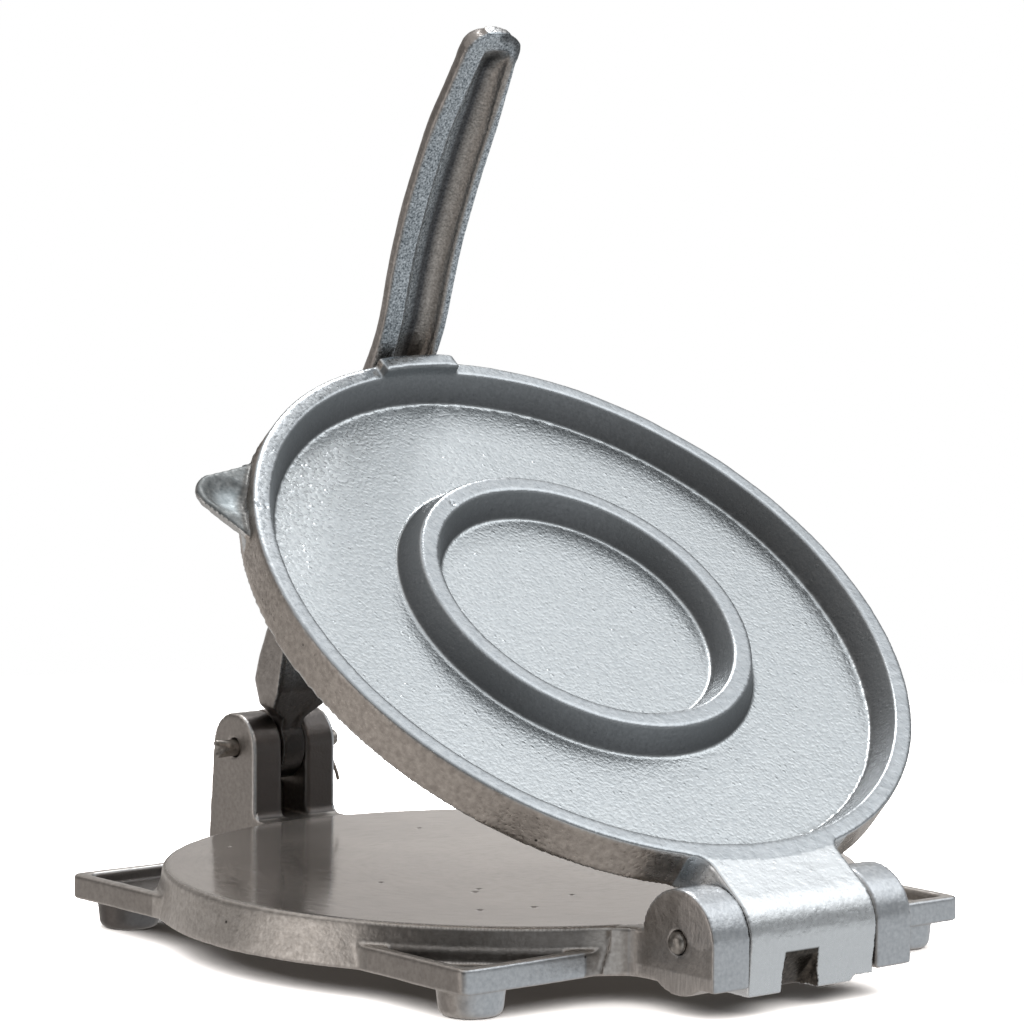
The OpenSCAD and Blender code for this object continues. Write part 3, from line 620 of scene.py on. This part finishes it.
def hinge_pin_mesh(low, high):
    """A rod with both ends hammered into low domes."""
    radius, half, height = (high.z - low.z) / 2, (high.x - low.x) / 2, 1.6 * MM
    ends = dome(-half, height, radius, 1) + dome(half, height, radius, -1)[::-1]
    return hammered(turned("hinge_pin_rod", ends), 7)


# The pinched end of the lever pin: its length, and at the very end how much flatter and wider it is
# than the rod, and how deep the split and the step beside it are, as shares of that length
PINCH, FLATTER, WIDER, SPLIT, STEP = 4 * MM, 0.55, 0.12, 0.45, 0.2


def lever_pin_mesh(low, high):
    """A rod with one domed end. The other end is pinched flat and split like a fish's tail."""
    left, right, radius = low.x, high.x, (high.y - low.y) / 2
    rings = [(left, 0), (left, 0.6 * radius), (left + 0.1 * MM, 0.94 * radius)]
    rings += [(left + PINCH * k / 8, radius) for k in range(1, 9)]
    mesh = turned("lever_pin_rod", rings + dome(right, 1.25 * MM, radius, -1)[::-1])
    for vertex in mesh.vertices:
        share = max(0, 1 - (vertex.co.x - left) / PINCH)
        notch = max(0, 1 - abs(vertex.co.z) / (0.55 * radius))
        vertex.co.x += PINCH * share ** 2 * (SPLIT * notch + STEP * (vertex.co.z < -0.3 * radius))
        vertex.co.y *= 1 - FLATTER * share
        vertex.co.z *= 1 + WIDER * share
    mesh.update()
    return hammered(mesh, 8)


# The split pin's wire: its radius, half the gap between its legs, the eye's radius, and how far from the
# lever pin's middle the wire enters the rod. Then its legs in millimetres, as pairs of a place across
# and a height: the long one from its foot up, and the short one from where it leaves the rod.
WIRE, GAP, EYE, SEAT = 0.52 * MM, 0.45 * MM, 1.6 * MM, 2.8 * MM
LONG_LEG = ((-2.3, -14.4), (-2.5, -12.2), (-2.4, -9.8), (-2.0, -7.2), (-1.3, -4.8))
SHORT_LEG = ((0.3, -0.8), (1.1, -2.0), (2.2, -3.4))
# The eye is a turn of the wire in degrees, left open where the legs leave it
EYE_START, EYE_TURN, EYE_STEPS = -106, -328, 24


def split_pin_mesh():
    """One wire folded back on itself: an eye, and two legs bent apart below the rod."""
    centre = SEAT + 1.4 * MM + EYE
    path = [(y * MM, z * MM) for y, z in LONG_LEG] + [(-GAP, -SEAT), (-GAP, centre - 2.2 * EYE)]
    for k in range(EYE_STEPS + 1):
        a = math.radians(EYE_START + EYE_TURN * k / EYE_STEPS)
        path.append((EYE * math.cos(a), centre + EYE * math.sin(a)))
    path += [(GAP, centre - 2.2 * EYE), (GAP, -SEAT)]
    path += [(GAP + y * MM, z * MM - SEAT) for y, z in SHORT_LEG]
    shape = bmesh.new()
    rings = []
    sideways, sides = Vector((1, 0, 0)), 12
    for k, (y, z) in enumerate(path):
        before, after = path[max(0, k - 1)], path[min(len(path) - 1, k + 1)]
        along = Vector((0, after[0] - before[0], after[1] - before[1])).normalized()
        across = along.cross(sideways)
        turns = [2 * math.pi * n / sides for n in range(sides)]
        middle = Vector((0, y, z))
        rings.append([shape.verts.new(middle + WIRE * (math.cos(a) * sideways + math.sin(a) * across))
                      for a in turns])
    for one, other in zip(rings, rings[1:]):
        for n in range(sides):
            shape.faces.new((one[n], one[(n + 1) % sides], other[(n + 1) % sides], other[n]))
    shape.faces.new(rings[0])
    shape.faces.new(rings[-1])
    return finished("split_pin_wire", shape)


hinge_box, lever_box, split_box = (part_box(name) for name in ("hinge_pin", "lever_pin", "lever_split_pin"))
piece("hinge_pin_rod", hinge_pin_mesh(*hinge_box), "base", [steel], ["hinge_pin"],
      Matrix.Translation(HINGE))
piece("lever_pin_rod", lever_pin_mesh(*(corner - LEVER_PIN for corner in lever_box)), "base",
      [steel], ["lever_pin"], Matrix.Translation(LEVER_PIN))
SPLIT_TILT = math.radians(-28)
SPLIT_PLACE = Vector(((split_box[0].x + split_box[1].x) / 2, LEVER_PIN.y, LEVER_PIN.z))
piece("split_pin_wire", split_pin_mesh(), "base", [steel], ["lever_split_pin"],
      Matrix.Translation(SPLIT_PLACE) @ Matrix.Rotation(SPLIT_TILT, 4, "X"))


# ---- floor, light and camera ----

# How far the paper reaches from the press, and the radii between which it fades out
PAPER_R, FADE_FROM, FADE_TO = 1.6, 0.22, 0.6


def floor():
    # Paper that its own strong lamp turns white, fading out into the white of the room. It is grey so
    # that the light of the room does not fill the shadows on it.
    plane = bpy.data.meshes.new("floor")
    shape = bmesh.new()
    bmesh.ops.create_circle(shape, cap_ends=True, radius=PAPER_R, segments=96)
    shape.to_mesh(plane)
    shape.free()
    paper = bpy.data.objects.new("floor", plane)
    bpy.context.scene.collection.objects.link(paper)
    paper.visible_glossy = False
    material, tree, shader, where = finish("paper", roughness=0.9, metallic=0.0)
    shader.inputs["Base Color"].default_value = paint("#8D8A88")
    reach = add(tree, "VectorMath", operation="LENGTH", in_0=where).outputs["Value"]
    fade = add(tree, "MapRange", Value=reach, From_Min=FADE_FROM, From_Max=FADE_TO, To_Min=1.0, To_Max=0.0)
    tree.links.new(fade.outputs[0], shader.inputs["Alpha"])
    plane.materials.append(material)
    lit = bpy.data.collections.new("lit_by_the_paper_lamp")
    lit.objects.link(paper)
    lamp = softbox("paper_lamp", at=(0, 0, 1.5), size=6.0, power=1600)
    lamp.light_linking.receiver_collection = lit


# What the metal reflects, by the height it comes from: the pale table below, a darker room just over
# it, and a bright ceiling. Pairs of a height, from -1 straight down to 1 straight up, and a light.
ROOM_LIGHT = ((-1.0, 0.55), (-0.35, 0.66), (-0.05, 0.70), (0.06, 0.36), (0.20, 0.30), (0.50, 0.24),
              (0.68, 0.71), (1.0, 0.92))
# Then the walls. Each is a direction, the cosines where it starts and where it is full, and the light
# that it adds. A dark wall takes light away.
WALLS = (((0.750, 0.655, 0.09), 0.95, 1.00, 0.42),
         ((0.600, -0.36, 0.71), 0.88, 0.98, 1.05),
         ((-0.940, 0.33, 0.02), 0.92, 0.99, 0.76),
         ((-0.635, 0.767, -0.09), 0.86, 0.97, -0.18),
         ((-0.900, -0.42, -0.09), 0.86, 0.96, -0.30))
# The light is cool from this side of the room and warm from the other
COOL_SIDE = (0.5, -0.75, 0.4)
WARM, COOL, WHITE = (1, 0.955, 0.92, 1), (0.965, 0.985, 1.0, 1), (1, 1, 1, 1)


def room():
    # The metal sees the room, and the camera sees plain white
    world = bpy.data.worlds.new("room")
    bpy.context.scene.world = world
    world.use_nodes = True
    tree = world.node_tree
    tree.nodes.clear()
    way = add(tree, "TexCoord").outputs["Generated"]
    height = add(tree, "SeparateXYZ", Vector=way).outputs["Z"]
    share = add(tree, "MapRange", Value=height, From_Min=-1.0, From_Max=1.0)
    bands = add(tree, "ValToRGB", Fac=share.outputs[0])
    while len(bands.color_ramp.elements) < len(ROOM_LIGHT):
        bands.color_ramp.elements.new(0.5)
    for element, (z, light) in zip(bands.color_ramp.elements, ROOM_LIGHT):
        element.position = (z + 1) / 2
        element.color = (light, light, light, 1)
    light = bands.outputs["Color"]
    for wall, start, full, gain in WALLS:
        toward = add(tree, "VectorMath", operation="DOT_PRODUCT", in_0=way, in_1=wall)
        lift = add(tree, "MapRange", interpolation_type="SMOOTHSTEP", Value=toward.outputs["Value"],
                   From_Min=start, From_Max=full, To_Max=gain)
        light = add(tree, "Math", operation="ADD", in_0=light, in_1=lift.outputs[0]).outputs[0]
    side = add(tree, "VectorMath", operation="DOT_PRODUCT", in_0=way, in_1=COOL_SIDE)
    cool = add(tree, "MapRange", Value=side.outputs["Value"], From_Min=-0.3, From_Max=0.4)
    tint = add(tree, "MixRGB", Fac=cool.outputs[0], Color1=WARM, Color2=COOL)
    unseen = add(tree, "Background", Color=tint.outputs[0], Strength=light)
    seen = add(tree, "Background", Color=WHITE, Strength=1.0)
    ray = add(tree, "LightPath").outputs["Is Camera Ray"]
    mix = add(tree, "MixShader", Fac=ray, in_1=unseen.outputs[0], in_2=seen.outputs[0])
    add(tree, "OutputWorld", Surface=mix.outputs[0])


def softbox(name, at, size, power, aim=(0, 0, 0.05)):
    """A square lamp that faces the press."""
    lamp = bpy.data.lights.new(name, "AREA")
    lamp.shape, lamp.size, lamp.energy = "SQUARE", size, power
    box = bpy.data.objects.new(name, lamp)
    bpy.context.scene.collection.objects.link(box)
    box.location = at
    box.rotation_euler = (Vector(aim) - Vector(at)).to_track_quat("-Z", "Y").to_euler()
    return box


# The camera: its direction and tilt in degrees, what it looks at and from how far away, its focal
# length and the render's width in pixels, and the width of its sensor in millimetres
AZIMUTH, ELEVATION, ROLL = -39.6, 5.25, 0.48
TARGET, DISTANCE = Vector((-0.91, 0, 121.63)) * MM, 1.25
FOCAL_PIXELS, WIDTH_PIXELS, SENSOR = 4417.41, 1024, 36


def camera():
    azimuth, elevation, roll = math.radians(AZIMUTH), math.radians(ELEVATION), math.radians(ROLL)
    back = Vector((math.sin(azimuth) * math.cos(elevation), -math.cos(azimuth) * math.cos(elevation),
                   math.sin(elevation)))
    right = Vector((math.cos(azimuth), math.sin(azimuth), 0))
    up = back.cross(right)
    tilted = right * math.cos(roll) + up * math.sin(roll)
    upright = up * math.cos(roll) - right * math.sin(roll)
    lens = bpy.data.cameras.new("camera")
    lens.sensor_width, lens.lens = SENSOR, FOCAL_PIXELS / WIDTH_PIXELS * SENSOR
    lens.clip_end = 20
    eye = bpy.data.objects.new("camera", lens)
    bpy.context.scene.collection.objects.link(eye)
    turn = Matrix((tilted, upright, back)).transposed().to_4x4()
    eye.matrix_world = Matrix.Translation(TARGET + back * DISTANCE) @ turn
    bpy.context.scene.camera = eye


floor()
room()
softbox("glint_lamp", at=(0.42, 0.42, 1.04), size=0.25, power=4)
camera()
scene = bpy.context.scene
scene.view_settings.view_transform = "Standard"
scene.view_settings.look = "None"

bpy.context.view_layer.update()
